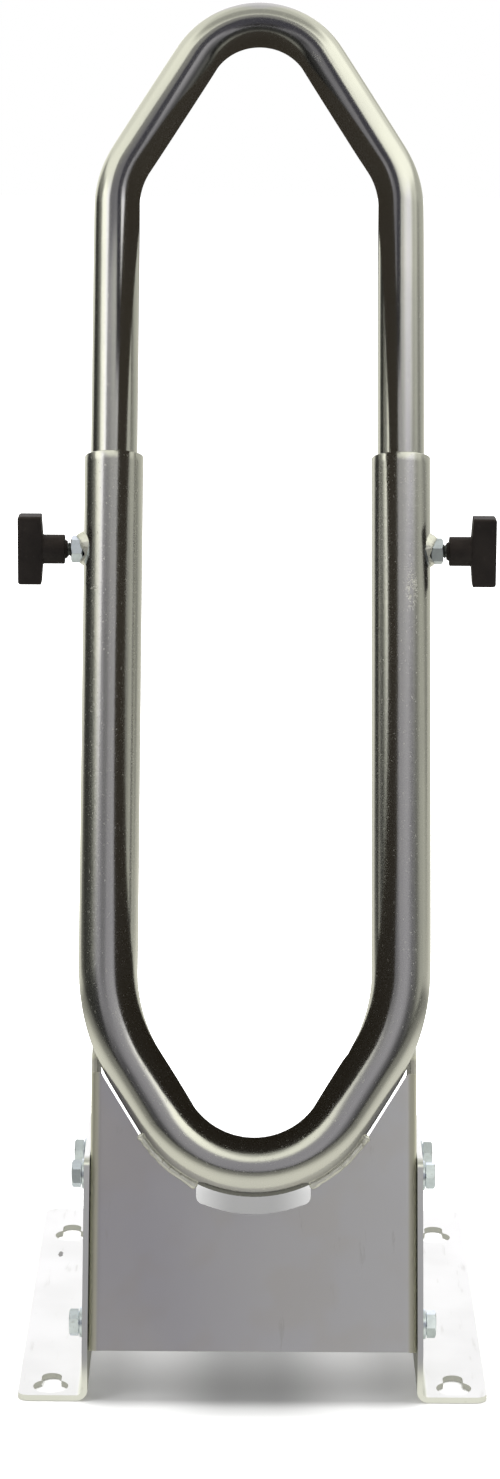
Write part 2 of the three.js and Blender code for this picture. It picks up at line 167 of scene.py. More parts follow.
def keyhole(centre_t, centre_y):
    """A round end of radius 9.3 towards the front, and a neck of radius 5.3 ending 13.5 behind it."""
    head, neck, travel = 9.3, 5.3, 13.5
    meet = math.degrees(math.asin(neck / head))
    big = arc_points((centre_t, centre_y), head, 90 + meet, 450 - meet, 36)
    small = arc_points((centre_t, centre_y + travel), neck, 0, 180, 16)
    return np.vstack([big, small])


def foot_flat():
    """The blank: t < 0 is the tall leg, 0 to the fold's length is the fold, and beyond is the floor leg."""
    flat_end = fold_length + foot_width - fold_outer
    top = fold_outer - upright_height
    rim = arc_outline([
        (flat_end, -foot_half, foot_corner), (flat_end, foot_half, foot_corner),
        (fold_outer - rear_height, foot_half, foot_corner), (top, upright_rear, 2 * foot_corner),
        (top, upright_front, foot_corner), (fold_outer - kink_height, -foot_half, 0),
    ], 7.5)
    middle = fold_length + (foot_width - SHEET) / 2 - fold_inner
    holes = [keyhole(middle, along) for along in keyhole_places]
    holes += [round_hole((fold_outer - up, back), bolt_hole_radius) for back, up in bolt_places.values()]
    return [rim, *holes]


def fold_foot(places, side):
    """Bends the blank: up the tall leg, round a quarter turn of the fold's middle radius, then out."""
    t, y = places.T
    turn = np.clip(t, 0, fold_length) / fold_middle
    x = upright_inner + fold_outer - fold_middle * np.cos(turn) + np.maximum(t - fold_length, 0)
    z = fold_outer - fold_middle * np.sin(turn) - np.minimum(t, 0)
    return np.stack([side * x, y, z], 1)


def put(socket, value):
    """Links a tone to a socket, or sets the socket to a number, a vector or a colour."""
    if isinstance(value, Tone):
        value.tree.links.new(value.socket, socket)
    elif socket.type == "RGBA":
        socket.default_value = (*value, 1.0)
    else:
        socket.default_value = value


class Tone:
    """A value on its way through a material: + - * / and ** on it add Math nodes."""

    def __init__(self, tree, socket=None):
        self.tree = tree
        self.socket = socket

    def node(self, kind, inputs, out=0, **settings):
        """Adds a node of this kind: its settings first, then the values or links of its sockets."""
        made = self.tree.nodes.new("ShaderNode" + kind)
        for name, value in settings.items():
            setattr(made, name, value)
        for key, value in inputs.items():
            put(made.inputs[key], value)
        return Tone(self.tree, made.outputs[out])

    def math(self, operation, first, second=0.0):
        return self.node("Math", {0: first, 1: second}, operation=operation)

    def __add__(self, other):
        return self.math("ADD", self, other)

    __radd__ = __add__

    def __sub__(self, other):
        return self.math("SUBTRACT", self, other)

    def __rsub__(self, other):
        return self.math("SUBTRACT", other, self)

    def __mul__(self, other):
        return self.math("MULTIPLY", self, other)

    __rmul__ = __mul__

    def __truediv__(self, other):
        return self.math("DIVIDE", self, other)

    def __pow__(self, other):
        return self.math("POWER", self, other)

    def most(self, other):
        """The larger of the two."""
        return self.math("MAXIMUM", self, other)

    def size(self):
        """This value without its sign."""
        return self.math("ABSOLUTE", self)

    def step(self, low, high):
        """0 below low and 1 above high, with a smooth rise between them."""
        return self.node("MapRange", {"Value": self, "From Min": low, "From Max": high},
                         interpolation_type="SMOOTHSTEP")

    def within(self, low, high, soft):
        """1 between low and high and 0 outside them, with soft ends."""
        return self.step(low - soft, low + soft) * (1 - self.step(high - soft, high + soft))

    def noise(self, scale, detail=2.0, stretch=(1, 1, 1), shift=(0, 0, 0), rough=0.5):
        """A noise value on this vector, which is first stretched along its axes."""
        spot = self.node("Mapping", {"Vector": self, "Scale": stretch, "Location": shift})
        return self.node("TexNoise", {"Vector": spot, "Scale": scale, "Detail": detail, "Roughness": rough})

    def colours(self, first, second):
        """The colour that lies this share of the way from the first colour to the second."""
        return self.node("Mix", {0: self, 6: first, 7: second}, out=2, data_type="RGBA")

    def parts(self):
        """The three parts of this vector."""
        split = self.node("SeparateXYZ", {0: self}).socket.node
        return [Tone(self.tree, socket) for socket in split.outputs]


def new_finish(name, attribute=None):
    """An empty material, its shader, and the place on the piece that its patterns read."""
    material = bpy.data.materials.new(name)
    material.use_nodes = True
    start = Tone(material.node_tree)
    if attribute:
        place = start.node("Attribute", {}, out=1, attribute_name=attribute)
    else:
        place = start.node("TexCoord", {}, out=3)
    return material, material.node_tree.nodes["Principled BSDF"], place


def feed(shader, **inputs):
    """Sets the shader's sockets, named with _ for a space, to numbers, colours or tones."""
    for key, value in inputs.items():
        put(shader.inputs[key.replace("_", " ")], value)


def relief(height, depth):
    """A bump normal: a height of 1 stands this many mm proud."""
    return height.node("Bump", {"Height": height, "Distance": depth * 0.001, "Strength": 1.0})


def pale_zinc():
    """Satin zinc on sheet: a fine grain with cloudy patches, small scuffs and one dark fleck."""
    material, shader, place = new_finish("pale_zinc_sheet")
    cloud = place.noise(22, 3)
    grain = place.noise(1400, 2)
    scuff = place.noise(260, 4, (1, 0.12, 1)).step(0.62, 0.74)
    spangle = place.noise(95, 2, rough=0.7)
    tint = cloud.step(0.35, 0.7).colours((0.91, 0.925, 0.90), (0.875, 0.89, 0.865))
    tint = (scuff * 0.3).colours(tint, (0.70, 0.70, 0.67))
    x, y, _ = place.parts()
    ragged = place.noise(700, 3) * 0.0016
    fleck = ((x + 0.111 + ragged) ** 2 + ((y - 0.0705) * 0.30) ** 2) ** 0.5
    tint = (1 - fleck.step(0.0011, 0.0016)).colours(tint, (0.22, 0.22, 0.20))
    feed(shader, Metallic=1.0, Base_Color=tint,
         Roughness=0.26 + 0.10 * cloud + 0.10 * scuff,
         Normal=relief(grain * 0.35 + spangle * 0.65, 0.035))
    return material


foot_finish = pale_zinc()
foot_places, foot_faces = flat_sheet(foot_flat(), fold_rulings(0.0))
for side_name, side in SIDES.items():
    folded = sheet_piece(f"folded_foot_{side_name}", fold_foot(foot_places, side),
                         foot_faces if side > 0 else [face[::-1] for face in foot_faces], foot_finish)
    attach(folded, "base_frame")
    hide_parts(f"foot_{side_name}")

# The channel is one sheet folded twice: a web that leans back with the hoop, and two deep flanges
# that bolt to the feet. A V is cut in the web for the hoop, with a relief slot under its lowest point,
# and the flanges' upper corners are notched round the hoop's legs.
lean = math.radians(21.5)
kink_y, kink_z = -foot_half, kink_height
web_top = 147.0
web_edge = 80.85
flange_start = web_edge + fold_length
flange_x = web_edge + fold_middle
flange_back, flange_foot, flange_shoulder = -27.5, 26.0, 126.0
flange_top, flange_top_depth = 177.0, 45.0
flange_corner = 10.0
slot_half = 30.5
leg_out = 78.5
lower_radius, lower_wall = 16.0, 3.0
lower_leg, lower_shoulder = 281.5, 100.0
bow_centre, bow_radius = 152.0, 55.0
hoop_clearance = 1.2
cut_radius = bow_radius + lower_radius + hoop_clearance
cope_radius = lower_radius + hoop_clearance
slant = math.radians(32.0)


def lean_to_part(places):
    """Turns (across, behind the web's face, up along the lean) into the stand's own x, y and z."""
    across, behind, up = places.T
    y = kink_y + behind * math.cos(lean) + up * math.sin(lean)
    z = kink_z - behind * math.sin(lean) + up * math.cos(lean)
    return np.stack([across, y, z], 1)


def part_to_lean(y, z):
    """(behind, up) in the leaning frame of a place in the stand's side view."""
    back, rise = y - kink_y, z - kink_z
    return back * math.cos(lean) - rise * math.sin(lean), back * math.sin(lean) + rise * math.cos(lean)


def bent_line(x, up, heading, moves):
    """A tube bender's centre line: each move runs straight for a length, then turns about a centre
    that lies square to the heading at the bend's radius. Gives x, up and heading along the line."""
    pitch, step = 5.0, 2.0
    places = [np.array([[x, up]])]
    headings = [np.array([heading])]
    for length, turn, radius in moves:
        if length:
            share = np.linspace(0, 1, math.ceil(length / pitch) + 1)[1:, None]
            ahead = np.array([math.cos(heading), math.sin(heading)])
            places.append(places[-1][-1] + share * length * ahead)
            headings.append(np.full(len(share), heading))
        if turn:
            hand = math.copysign(1, turn)
            share = np.linspace(0, 1, math.ceil(abs(math.degrees(turn)) / step) + 1)[1:]
            now = heading + turn * share
            centre = places[-1][-1] + hand * radius * np.array([-math.sin(heading), math.cos(heading)])
            places.append(centre - hand * radius * np.stack([-np.sin(now), np.cos(now)], 1))
            headings.append(now)
            heading += turn
    line = np.vstack(places)
    along = np.concatenate([[0], np.cumsum(np.linalg.norm(np.diff(line, axis=0), axis=1))])
    return {"x": line[:, 0], "up": line[:, 1], "heading": np.concatenate(headings), "along": along}


def slant_run(angle, bow, shoulder):
    """Length of the straight between a shoulder bend and the bow, so that the hoop closes."""
    return leg_out / math.sin(angle) - shoulder * math.tan(angle / 2) - bow / math.tan(angle)


def hoop_line(leg_end, leg, angle, bow, shoulder, side):
    """Leg, shoulder bend, slanted run, bow, and the same back down. side is 1 with the bow on top."""
    run = slant_run(angle, bow, shoulder)
    small = -side * angle
    big = -side * (math.pi - 2 * angle)
    return bent_line(-leg_out, leg_end, side * math.pi / 2,
                     [(leg, small, shoulder), (run, big, bow), (run, small, shoulder), (leg, 0, 0)])


lower_mouth = 484.0
lower_line = hoop_line(lower_mouth, lower_leg, slant, bow_radius, lower_shoulder, -1)


def relief_slot():
    """Left side, left corner, sagging lower edge, right corner and right side of the slot."""
    half, low, sag, corner = slot_half, 72.4, 5.3, 4.5

    def curve(start, pull, end, count=9):
        share = np.linspace(0, 1, count)[:, None]
        start, pull, end = map(np.array, (start, pull, end))
        return (1 - share) ** 2 * start + 2 * share * (1 - share) * pull + share ** 2 * end

    knee = low + sag * (1 - corner / half)
    left = curve((-half, low + sag + corner), (-half, low + sag), (corner - half, knee))
    floor = curve((corner - half, knee), (0, low - sag), (half - corner, knee), 25)
    right = curve((half - corner, knee), (half, low + sag), (half, low + sag + corner))
    return np.vstack([left, floor[1:-1], right])


def cope_front(up):
    """Where a flange's front edge lies: at the fold, or behind the hoop's leg with a small gap."""
    reach = np.hypot(flange_x - lower_line["x"][None], up[:, None] - lower_line["up"][None]).min(1)
    round_leg = SHEET / 2 + np.sqrt(np.maximum(cope_radius ** 2 - reach ** 2, 0))
    return np.maximum(fold_outer, round_leg)


def channel_flat():
    """The blank, drawn across and up: web in the middle, folds beside it, flanges outside."""
    rear, shoulder = part_to_lean(flange_back, flange_foot), part_to_lean(flange_back, flange_shoulder)
    low_front = (flange_foot - kink_z + fold_outer * math.sin(lean)) / math.cos(lean)
    ups = np.linspace(web_top, flange_top, 26)
    cope = np.stack([flange_start + cope_front(ups) - fold_outer, ups], 1)

    def flange(behind, up, radius=flange_corner):
        return (flange_start + behind - fold_outer, up, radius)

    outer = arc_outline([
        (0, 0, 0), (flange_start, 0, 0), flange(fold_outer, low_front, 0), flange(*rear),
        flange(*shoulder), flange(flange_top_depth, flange_top), (cope[-1, 0], flange_top, 0),
    ])[1:]
    slope_foot = (cut_radius * math.cos(slant), bow_centre - cut_radius * math.sin(slant))
    top_x = slope_foot[0] + (web_top - slope_foot[1]) * math.tan(slant)
    first = math.degrees(math.asin(slot_half / cut_radius))
    bow = arc_points((0, bow_centre), cut_radius, -32, -90 + first, 22)
    right = np.vstack([outer, cope[::-1][1:], [[top_x, web_top]], bow])
    left = right[::-1] * np.array([-1, 1])
    rim = np.vstack([right, relief_slot()[::-1], left])
    holes = []
    for back, up in bolt_places.values():
        across, rise, _ = flange(*part_to_lean(back, up))
        holes += [round_hole((across, rise), bolt_hole_radius), round_hole((-across, rise), bolt_hole_radius)]
    return [rim, *holes]


def fold_channel(places):
    """Bends the blank: flat over the web, a quarter turn at each fold, then straight back."""
    u, up = places.T
    side = np.sign(u)
    turn = np.clip(np.abs(u) - web_edge, 0, fold_length) / fold_middle
    across = side * (np.minimum(np.abs(u), web_edge) + fold_middle * np.sin(turn))
    behind = SHEET / 2 + fold_middle * (1 - np.cos(turn)) + np.maximum(np.abs(u) - flange_start, 0)
    return lean_to_part(np.stack([across, behind, up], 1))


def satin_zinc():
    """Satin zinc on the channel: mill grain along the sheet, cloudy passivation, handling marks, painted
    shade on the left of the web and a painted band and highlight on each fold.
    """
    material, shader, place = new_finish("satin_zinc_sheet")
    leant = place.node("Mapping", {"Vector": place, "Rotation": (lean, 0, 0)})
    cloud = leant.noise(14, 3)
    band = leant.noise(9, 2, (1, 1, 0.35), (0.3, 0, 0))
    grain = leant.noise(900, 2, (1, 1, 0.10))
    speck = leant.noise(2600, 1)
    mark = leant.noise(120, 5, (1, 1, 0.18), rough=0.65).step(0.64, 0.72)
    across, behind, _ = leant.parts()
    # Painted shade: the colour ramps across the web from a darker purplish grey on the left to a lighter grey
    # on the right.
    tint = across.step(-0.085, 0.085).colours((0.56, 0.55, 0.60), (0.77, 0.775, 0.80))
    tint = (cloud.step(0.3, 0.75) * 0.35).colours(tint, (0.72, 0.705, 0.685))
    bloom = leant.noise(30, 2, shift=(0.5, 0.2, 0.1)).step(0.42, 0.60)
    tint = tint.node("Mix", {0: bloom * 0.8, 6: tint, 7: (0.985, 0.97, 0.94)}, out=2,
                     data_type="RGBA", blend_type="MULTIPLY")
    tint = (mark * 0.25).colours(tint, (0.42, 0.41, 0.41))
    # Painted reflection: a darker khaki band where each fold begins, and a painted highlight in pale cream
    # along its crest.
    fold = across.size().step(0.0815, 0.0835)
    crest = across.size().step(0.0850, 0.0864)
    tint = fold.colours(tint, (0.62, 0.605, 0.54))
    tint = crest.colours(tint, (0.95, 0.94, 0.82))
    # Behind the web's face the flanges take a plain tone, so the painted fold band and highlight stay on the
    # front.
    face = (kink_y * math.cos(lean) - kink_z * math.sin(lean)) / 1000
    tint = behind.step(face + 0.004, face + 0.012).colours(tint, (0.80, 0.80, 0.79))
    feed(shader, Metallic=1.0, Base_Color=tint,
         Roughness=0.36 + 0.10 * band + 0.06 * mark + 0.12 * fold,
         Normal=relief(grain * 0.6 + speck * 0.25 + cloud * 0.8, 0.03))
    return material


channel_rulings = fold_rulings(web_edge) + fold_rulings(-web_edge, -1) + [0.0]
channel_places, channel_faces = flat_sheet(channel_flat(), channel_rulings)
folded_channel = sheet_piece("folded_channel", fold_channel(channel_places), channel_faces, satin_zinc())
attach(folded_channel, "base_frame")
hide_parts("front_channel")

# The lower hoop is 32 mm steel tube with a 3 mm wall, cold bent to a V with a round bottom and
# legs that end in cut mouths. It is bright zinc plated, and drilled once per leg for the clamp screws.
tube_plane = SHEET / 2
tube_turns = 72


def full_turn(count):
    """Evenly spaced angles round a circle."""
    return np.linspace(0, 2 * np.pi, count, endpoint=False)


def bend_press(line):
    """How far each station is pressed oval: 1.8 per cent where the line turns, with the steps at the
    bends' ends smoothed by six passes of a mean over three stations."""
    bent = (np.diff(line["heading"], prepend=line["heading"][0]) != 0).astype(float)
    for _ in range(6):
        bent[1:-1] = (bent[:-2] + bent[1:-1] + bent[2:]) / 3
    return bent * 0.018


def loop_faces(rows, columns):
    """Quads of a grid that closes on itself both ways."""
    row, column = np.meshgrid(np.arange(rows), np.arange(columns), indexing="ij")
    below, beside = (row + 1) % rows, (column + 1) % columns
    quads = np.stack([row * columns + column, row * columns + beside,
                      below * columns + beside, below * columns + column], -1)
    return quads.reshape(-1, 4).tolist()


def turn_outwards(piece, smooth_below):
    """Merges doubled corners, turns the faces outwards, and shades edges smooth below an angle."""
    shell = bmesh.new()
    shell.from_mesh(piece.data)
    bmesh.ops.remove_doubles(shell, verts=shell.verts, dist=2e-6)
    bmesh.ops.dissolve_degenerate(shell, edges=shell.edges, dist=1e-7)
    bmesh.ops.recalc_face_normals(shell, faces=shell.faces)
    shell.to_mesh(piece.data)
    shell.free()
    piece.data.shade_smooth()
    piece.data.set_sharp_from_angle(angle=math.radians(smooth_below))


def tube_piece(name, line, outer, wall, dents, finish):
    """A profile loop of distance along the line and radius, carried round the tube: out along the
    outer wall, round one cut end, back along the bore and round the other end. A bend is pressed
    oval. A dent is (along, turn, depth, length, width in degrees)."""
    lip = 0.5
    bore = outer - wall
    stations = line["along"]
    total = stations[-1]
    stations = stations[(stations > lip + 1) & (stations < total - lip - 1)]
    quarter = np.radians(np.linspace(0, 90, 5))
    rise, fall = lip * np.sin(quarter), lip * np.cos(quarter)
    end_along = total - lip + np.concatenate([rise, rise[::-1]])
    end_radius = np.concatenate([outer - lip + fall, bore + lip - fall[::-1]])
    along = np.concatenate([stations, end_along, stations[::-1], total - end_along[::-1]])
    radius = np.concatenate([np.full(len(stations), outer), end_radius,
                             np.full(len(stations), bore), end_radius[::-1]])
    x, up, heading = (np.interp(along, line["along"], line[key]) for key in ("x", "up", "heading"))
    press = np.interp(along, line["along"], bend_press(line))
    turn = full_turn(tube_turns)
    inward, fore = np.cos(turn)[None], np.sin(turn)[None]
    reach = radius[:, None] * (1 - press[:, None] * inward ** 2 + 0.5 * press[:, None] * fore ** 2)
    for at, at_turn, depth, length, width in dents:
        away = (np.degrees(turn) - at_turn + 180) % 360 - 180
        reach -= depth * np.exp(-((along - at) / length)[:, None] ** 2 - (away / width)[None] ** 2)
    across = x[:, None] - reach * inward * np.sin(heading)[:, None]
    height = up[:, None] + reach * inward * np.cos(heading)[:, None]
    behind = tube_plane - reach * fore
    places = lean_to_part(np.stack([across, behind, height], -1).reshape(-1, 3))
    straight = np.stack([reach * inward, reach * fore, np.broadcast_to(along[:, None], reach.shape)], -1)
    piece = new_piece(name, places, loop_faces(len(along), tube_turns), finish)
    rolled = piece.data.attributes.new("straight_tube", "FLOAT_VECTOR", "POINT")
    rolled.data.foreach_set("vector", (straight * 0.001).astype(np.float32).ravel())
    turn_outwards(piece, 50)
    return piece


def bright_zinc(name, wear=1.0, nicks=()):
    """Bright zinc over drawn tube: fine streaks and draw lines along it, a ragged skin, soft waves left
    by the bender, pits, a warm bloom in patches, and pale specks. A nick is (turn, along, half
    length, half width) in degrees and mm."""
    material, shader, place = new_finish(name, "straight_tube")
    streak = place.noise(620, 3, (1, 1, 0.045), rough=0.6)
    line = place.noise(1700, 2, (1, 1, 0.010), (0.2, 0.1, 0))
    ragged = place.noise(360, 4, (1, 1, 0.42), (0.1, 0.3, 0.2), 0.62)
    wave = place.noise(75, 2, (1, 1, 0.16), (0.4, 0, 0.2))
    cloud = place.noise(34, 3, (1, 1, 0.4))
    pit = place.noise(1300, 1, (1, 1, 0.7)).step(0.72, 0.80)
    speck = place.noise(950, 2, (1, 1, 0.55), (0, 0.2, 0.1)).step(0.64, 0.74)
    tint = cloud.step(0.3, 0.7).colours((0.72, 0.72, 0.68), (0.66, 0.66, 0.64))
    tint = (speck * 0.5).colours(tint, (0.84, 0.83, 0.78))
    rough = 0.125 + 0.07 * cloud + 0.16 * wear * speck + 0.05 * wear * ragged
    height = streak * 0.45 + line * 0.30 + ragged * 0.95 * wear + wave * 2.4 - pit * 0.5 + speck * 0.22 * wear
    x, y, along = place.parts()
    for turn, at, half_long, half_wide in nicks:
        angle = math.radians(turn)
        aside = x * (-1000 * math.sin(angle)) + y * (1000 * math.cos(angle))
        outwards = (x * math.cos(angle) + y * math.sin(angle)).step(0, 0.004)
        far = ((along * 1000 - at) / half_long) ** 2 + (aside / half_wide) ** 2
        curl = place.noise(420, 3, (1, 1, 0.55), (0.3, 0.1, 0), 0.7)
        broken = 1 - (curl - 0.5).size().step(0.008, 0.030)
        mark = (1 - far.step(0.2, 1.0)) * outwards * broken
        rough = rough + 0.25 * mark
        height = height - mark * 0.8
        tint = (mark * 0.8).colours(tint, (0.88, 0.87, 0.82))
    feed(shader, Metallic=1.0, Base_Color=tint, Roughness=rough, Normal=relief(height, 0.03))
    return material


bow_start = lower_leg + lower_shoulder * slant + slant_run(slant, bow_radius, lower_shoulder)
lower_total = lower_line["along"][-1]
lower_dents = [
    (bow_start + 7, 28, 0.55, 1.8, 15), (bow_start + 4, -15, 0.3, 2.2, 16),
    (lower_total - lower_leg - 55.0, 8, 0.5, 2.2, 22),
]
lower_finish = bright_zinc("bright_zinc_lower_tube", 1.0, [
    (127, 76.0, 1.2, 3.5), (110, lower_total - 76.0, 14.0, 4.0),
])
lower_hoop = tube_piece("lower_hoop", lower_line, lower_radius, lower_wall, lower_dents, lower_finish)
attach(lower_hoop, "base_frame")
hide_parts("lower_hoop_tube")

# A weld seam on each side joins the web's V to the hoop. It was laid by hand from the top end, where
# it starts in a small blob, down to the relief slot, and its ripples show each puddle.
seam_reach = bow_radius + lower_radius + hoop_clearance / 2
bead_reach = bow_radius + lower_radius + 0.5
seam_foot = 29.8
seam_first = math.asin(seam_foot / seam_reach)
seam_last = math.radians(58.0)


def grid_faces(rows, columns):
    """Quads of a grid whose columns close on themselves and whose rows run from end to end."""
    return loop_faces(rows, columns)[:-columns]


def mesh_piece(name, shape, finish, smooth_below):
    """A piece from its places and faces, with its faces turned outwards."""
    piece = new_piece(name, *shape, finish)
    turn_outwards(piece, smooth_below)
    return piece


def seam_bead(side, seed):
    """A low bead along the web's cut edge. Its radius carries three long ridges that wander, a faint
    saw-tooth for each puddle, and a blob with a hooked tail at its start. It closes at both ends."""
    chance = np.random.default_rng(seed)
    rows, columns = 260, 24
    share = np.linspace(0, 1, rows)[:, None]
    turn = full_turn(columns)[None]
    sweep = seam_last + (seam_first - seam_last) * share
    length = seam_reach * (seam_last - seam_first)
    knots = np.linspace(0, 1, 15)
    wander = np.interp(share, knots, chance.uniform(-1, 1, 15))
    aside = np.interp(share, knots, chance.uniform(-1, 1, 15))
    puddle = (share * length / 1.6 + 0.5 * np.cos(turn) ** 2) % 1.0
    drift = np.interp(share, knots, chance.uniform(-0.6, 0.6, 15))
    ridges = np.cos(7 * turn + 2.5 * drift) + 0.6 * np.cos(4 * turn - 4 * drift)
    blob = np.exp(-((share * length - 1.6) / 1.3) ** 2)
    fan = np.exp(-(((1 - share) * length - 2.0) / 3.0) ** 2)
    ends = np.sqrt(np.clip(share * length / 1.2, 0, 1) * np.clip((1 - share) * length / 0.9, 0, 1))
    radius = (1.55 + 0.14 * wander + 0.05 * puddle + 0.085 * ridges + 0.60 * blob) * ends
    centre = bead_reach + 0.15 * aside + 0.3 * fan
    outwards = radius * np.cos(turn) * (1.12 + 0.25 * fan)
    fore = radius * np.sin(turn) * (0.95 - 0.2 * fan)
    reach = centre + outwards
    across = side * reach * np.sin(sweep)
    up = bow_centre - reach * np.cos(sweep)
    behind = -0.1 - fore
    return lean_to_part(np.stack([across, behind + 0 * up, up], -1).reshape(-1, 3)), grid_faces(rows, columns)


def weld_metal():
    """Bare weld metal under zinc: silvery, with a dull skin in the troughs and small dark specks."""
    material, shader, place = new_finish("weld_metal")
    cloud = place.noise(160, 3)
    grain = place.noise(1800, 3)
    soot = place.noise(420, 3, shift=(0.3, 0.1, 0)).step(0.60, 0.70)
    tint = cloud.step(0.35, 0.7).colours((0.97, 0.97, 0.91), (0.88, 0.88, 0.82))
    tint = (soot * 0.4).colours(tint, (0.36, 0.34, 0.29))
    feed(shader, Metallic=1.0, Base_Color=tint, Roughness=0.42 + 0.16 * cloud + 0.2 * soot,
         Normal=relief(grain, 0.03))
    return material


weld_finish = weld_metal()
for side_name, side in SIDES.items():
    bead = mesh_piece(f"seam_bead_{side_name}", seam_bead(side, 11 + side), weld_finish, 60)
    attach(bead, "base_frame")
    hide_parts(f"weld_seam_{side_name}")

# The upper hoop is 25.4 mm tube with a 2 mm wall, bent the same way with its bow on top. Its legs
# telescope into the lower legs, and the clamp screws hold it at the height that is wanted.
upper_radius, upper_wall = 12.7, 2.0
upper_leg, insertion = 287.8, 146.0
upper_slant, upper_bow, upper_shoulder = math.radians(31.5), 41.0, 52.0
upper_line = hoop_line(lower_mouth - insertion, upper_leg, upper_slant, upper_bow, upper_shoulder, 1)
upper_dents = [(upper_line["along"][-1] - upper_leg - 30, 200, 0.15, 6, 30)]
upper_finish = bright_zinc("bright_zinc_upper_tube", 0.55, [(112, 470.0, 6.0, 2.5)])
upper_hoop = tube_piece("upper_hoop", upper_line, upper_radius, upper_wall, upper_dents, upper_finish)
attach(upper_hoop, "height_hoop")
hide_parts("upper_hoop_tube")

# On the outside of each lower leg an M8 nut is welded over a drilled hole. The screw runs through it
# and its tip presses the upper leg. The left nut lies flat to the front, the right one edge on.
mouth_to_clamp = 52.0
clamp_up = lower_mouth - mouth_to_clamp
nut_seat, nut_face = 16.3, 22.8
hex_flats = 13.0
nut_turns = {"left": 0.0, "right": 30.0}
hex_columns = 96


def hex_rim(turn, flats):
    """Distance from the centre to a hexagon's edge, with a corner at turn 0."""
    within = np.mod(turn + np.pi / 6, np.pi / 3) - np.pi / 6
    return flats / 2 / np.cos(np.pi / 6 - np.abs(within))


def rings(turn, rows):
    """Stacks rows of (radius, height), each a number or an array over the turn, into places."""
    radius = np.stack([np.broadcast_to(row[0], turn.shape) for row in rows])
    height = np.stack([np.broadcast_to(row[1], turn.shape) for row in rows])
    return np.stack([radius * np.cos(turn), radius * np.sin(turn), height], -1)


def chamfer_drop(rim, circle):
    """How far a 30 degree chamfer has fallen at the rim, from the circle where it starts."""
    return np.maximum(rim - circle, 0) * math.tan(math.radians(30))


def hex_nut(low, high):
    """A nut's closed profile: bore, countersink, face, chamfer, six flats, and the same below."""
    turn = full_turn(hex_columns)
    rim = hex_rim(turn, hex_flats)
    bore, face = 4.1, 6.15
    drop = chamfer_drop(rim, face)
    rows = [
        (bore, low + 0.6), (bore + 0.5, low), (face, low), (rim, low + drop), (rim, high - drop),
        (face, high), (bore + 0.5, high), (bore, high - 0.6),
    ]
    return rings(turn, rows).reshape(-1, 3), loop_faces(len(rows), hex_columns)


def turned_shape(local, degrees):
    """x, y and height of a shape that is turned about its own axis."""
    turn = math.radians(degrees)
    x, y, height = local.T
    return x * math.cos(turn) - y * math.sin(turn), x * math.sin(turn) + y * math.cos(turn), height


def across_leg(local, side, turned=0.0):
    """Lays a shape drawn along its own axis out of the leg, then leans it with the hoop."""
    x, y, out = turned_shape(local, turned)
    return lean_to_part(np.stack([side * (leg_out + out), tube_plane + y, clamp_up - side * x], 1))


def blue_zinc(name, dull=0.0, bright=(0.84, 0.92, 1.0)):
    """Blue-white zinc on screws: fine grain with a cold tint, rubbed bright on high spots."""
    material, shader, place = new_finish(name)
    cloud = place.noise(240, 3)
    grain = place.noise(2400, 2)
    stain = place.noise(520, 4, shift=(0.2, 0, 0.4)).step(0.58, 0.72)
    tint = cloud.step(0.35, 0.7).colours(bright, [0.88 * part for part in bright])
    tint = (stain * 0.25).colours(tint, (0.50, 0.51, 0.49))
    feed(shader, Metallic=1.0, Base_Color=tint, Roughness=0.24 + dull + 0.14 * cloud + 0.12 * stain,
         Normal=relief(grain * 0.7 + cloud, 0.025))
    return material


screw_finish = blue_zinc("blue_zinc_fastener")
for side_name, side in SIDES.items():
    places, faces = hex_nut(nut_seat, nut_face)
    shape = across_leg(places, side, nut_turns[side_name]), faces
    nut = mesh_piece(f"clamp_nut_{side_name}", shape, screw_finish, 25)
    break_edges(nut, 0.15, 25)
    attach(nut, "base_frame")
    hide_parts(f"weld_nut_{side_name}")

# A hand-laid fillet of weld holds each nut to its leg. It is high and creased on the upper side,
# thin with a hollow on the lower side, and runs out on the tube in a thin toe.


def nut_fillet(side_name, side, seed):
    """A ring round the nut, drawn as a closed profile at each turn: up the nut's flank, over a crest
    whose height and reach wander, down to the tube's own surface and back beneath it."""
    chance = np.random.default_rng(seed)
    columns = 120
    turn = full_turn(columns)
    upward = -side * np.cos(turn)
    front = -np.sin(turn)
    waves = sum(chance.uniform(0.3, 1) * np.sin(order * turn + chance.uniform(0, 6.28)) / order ** 0.7
                for order in range(2, 13))
    crease = sum(np.sin(order * turn + chance.uniform(0, 6.28)) for order in (17, 23, 31)) / 3
    hollow = np.exp(-((upward + 0.55) / 0.35) ** 2 - ((front - 0.8) / 0.45) ** 2)
    tall = np.clip(3.0 + 0.85 * upward + 0.22 * waves + 0.12 * crease - 2.0 * hollow, 0.5, 4.3)
    wide = 9.3 + 0.55 * upward + 0.22 * waves + 0.15 * crease - 0.5 * hollow
    flank = hex_rim(turn - math.radians(nut_turns[side_name]), hex_flats) - 0.05

    def surface(radius, proud):
        return np.sqrt(lower_radius ** 2 - (radius * np.sin(turn)) ** 2) + proud

    rows = [(flank, surface(flank, -0.5))]
    rows += [(flank, surface(flank, tall * share)) for share in (0.3, 0.65, 0.92)]
    brim = flank + 0.35
    rows.append((brim, surface(brim, tall)))
    for share in np.linspace(0.15, 1.0, 8):
        radius = brim + (wide - brim) * share
        bulge = (1 - share) ** 1.25 + 0.22 * np.sin(np.pi * share)
        ripple = 0.10 * np.sin(5.2 * share * np.pi + 9 * turn + waves)
        rows.append((radius, surface(radius, tall * bulge + ripple * (1 - share) + 0.02)))
    rows.append((wide, surface(wide, -0.5)))
    places = rings(turn, rows).reshape(-1, 3)
    return across_leg(places, side), loop_faces(len(rows), columns)


for side_name, side in SIDES.items():
    fillet = mesh_piece(f"nut_fillet_{side_name}", nut_fillet(side_name, side, 5 + side), weld_finish, 70)
    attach(fillet, "base_frame")
    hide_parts(f"nut_weld_{side_name}")

